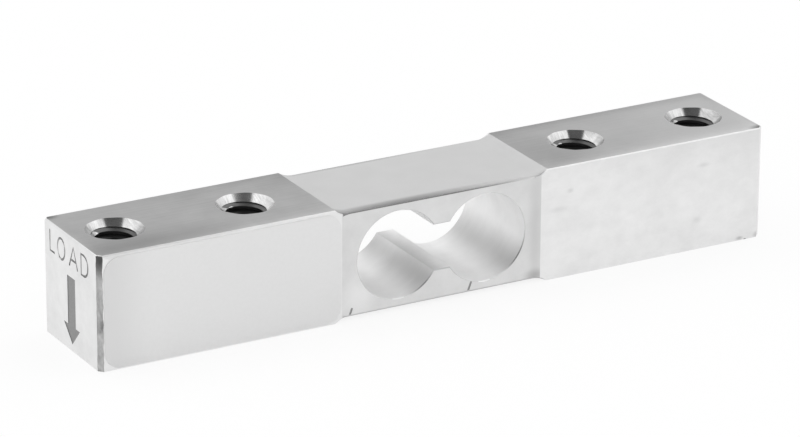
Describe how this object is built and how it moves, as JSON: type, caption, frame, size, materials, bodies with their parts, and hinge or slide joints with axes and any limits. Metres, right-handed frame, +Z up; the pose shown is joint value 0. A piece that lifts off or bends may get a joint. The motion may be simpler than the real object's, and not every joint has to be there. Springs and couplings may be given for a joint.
{
  "type": "strain gauge load cell",
  "caption": "Straight bending-beam load cell: a square aluminium bar with tapped ends, a recessed neck, a twin-hole cut and sealed strain gauges.",
  "frame": {"origin": "middle of the bar's underside, halfway along and across it", "axes": "+X along the bar, from the load end (marked with an arrow) to the fixed end; +Y across the bar, from the labelled side to the plain side; +Z up, against the load"},
  "size_m": [0.08, 0.0127, 0.0127],
  "materials": {
    "beam_aluminium": "milled and brushed",
    "seal_compound": "satin, level",
    "label_film": "satin, blank",
    "carrier_film": "amber film",
    "gauge_foil": "etched foil",
    "strip_laminate": "laminate",
    "copper": "bare copper",
    "wire_enamel": "enamelled copper",
    "solder": "bright solder"
  },
  "bodies": {
    "root": {"beam": "beam_aluminium", "side_label": "label_film", "top_cover": "seal_compound", "gauge_film_top_left": "carrier_film", "gauge_grid_top_left": "gauge_foil", "gauge_film_top_right": "carrier_film", "gauge_grid_top_right": "gauge_foil", "terminal_strip_top": "strip_laminate", "terminal_pads_top": "copper", "jumper_wires_top": "wire_enamel", "solder_joints_top": "solder", "bottom_cover": "seal_compound", "gauge_film_bottom_left": "carrier_film", "gauge_grid_bottom_left": "gauge_foil", "gauge_film_bottom_right": "carrier_film", "gauge_grid_bottom_right": "gauge_foil", "terminal_strip_bottom": "strip_laminate", "terminal_pads_bottom": "copper", "jumper_wires_bottom": "wire_enamel", "solder_joints_bottom": "solder"}
  },
  "joints": []
}
